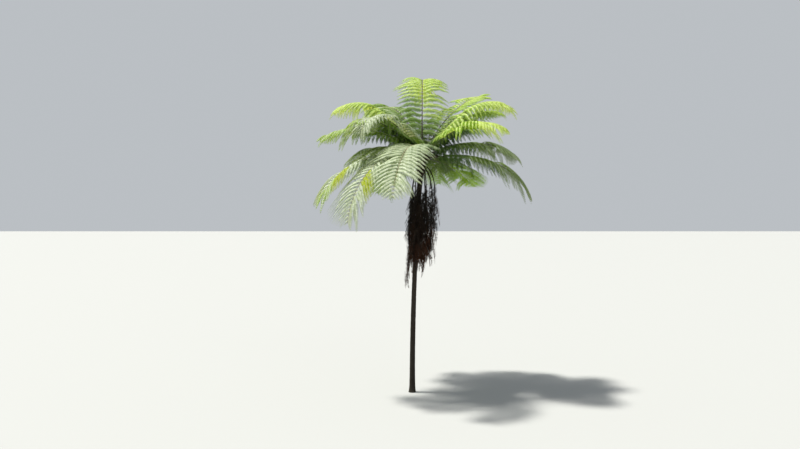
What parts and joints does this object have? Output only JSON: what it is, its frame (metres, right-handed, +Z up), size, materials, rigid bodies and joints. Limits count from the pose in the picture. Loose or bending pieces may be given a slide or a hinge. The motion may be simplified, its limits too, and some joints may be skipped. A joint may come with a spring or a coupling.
{
  "type": "tree fern",
  "caption": "Tree fern with a slender dark trunk, a wide crown of arching feathery fronds and a hanging skirt of dead brown fronds.",
  "frame": {"origin": "centre of the trunk's flat cut at ground level", "axes": "+Z up along the trunk, +X to the right and -Y towards the viewer, as in the picture"},
  "size_m": [5.1607, 5.3267, 7.833],
  "materials": {
    "trunk_bark": "rough dark fibrous bark",
    "bright_frond": "bright yellow-green leaflets, lit through",
    "shaded_frond": "mid-green leaflets",
    "grey_frond": "soft grey-green leaflets with a pale sheen",
    "dead_frond": "withered dark brown leaflets"
  },
  "bodies": {
    "root": {"trunk": "trunk_bark", "frond_top_back_inner": "bright_frond", "frond_top_back_outer": "bright_frond", "frond_back_right_up_inner": "bright_frond", "frond_back_right_up_outer": "bright_frond", "frond_back_left_up_inner": "shaded_frond", "frond_back_left_up_outer": "shaded_frond", "frond_right_upper_inner": "bright_frond", "frond_right_upper_outer": "bright_frond", "frond_right_mid_inner": "bright_frond", "frond_right_mid_outer": "bright_frond", "frond_right_back_mid_inner": "shaded_frond", "frond_right_back_mid_outer": "shaded_frond", "frond_right_low_inner": "shaded_frond", "frond_right_low_outer": "shaded_frond", "frond_right_droop_inner": "shaded_frond", "frond_right_droop_outer": "shaded_frond", "frond_right_back_low_inner": "bright_frond", "frond_right_back_low_outer": "bright_frond", "frond_front_left_inner": "grey_frond", "frond_front_left_outer": "grey_frond", "frond_left_front_low_inner": "grey_frond", "frond_left_front_low_outer": "grey_frond", "frond_left_low_inner": "grey_frond", "frond_left_low_outer": "grey_frond", "frond_left_upper_inner": "shaded_frond", "frond_left_upper_outer": "shaded_frond", "frond_left_front_up_inner": "grey_frond", "frond_left_front_up_outer": "grey_frond", "frond_left_mid_up_inner": "shaded_frond", "frond_left_mid_up_outer": "shaded_frond", "frond_left_back_up_inner": "bright_frond", "frond_left_back_up_outer": "bright_frond", "frond_left_back_mid_inner": "shaded_frond", "frond_left_back_mid_outer": "shaded_frond", "frond_back_mid_inner": "shaded_frond", "frond_back_mid_outer": "shaded_frond", "frond_back_low_inner": "shaded_frond", "frond_back_low_outer": "shaded_frond", "frond_back_right_low_inner": "shaded_frond", "frond_back_right_low_outer": "shaded_frond", "dead_frond_front": "dead_frond", "dead_frond_front_right": "dead_frond", "dead_frond_right_front": "dead_frond", "dead_frond_right": "dead_frond", "dead_frond_right_back": "dead_frond", "dead_frond_back_right": "dead_frond", "dead_frond_back": "dead_frond", "dead_frond_back_left": "dead_frond", "dead_frond_left": "dead_frond", "dead_frond_front_left": "dead_frond"}
  },
  "joints": []
}
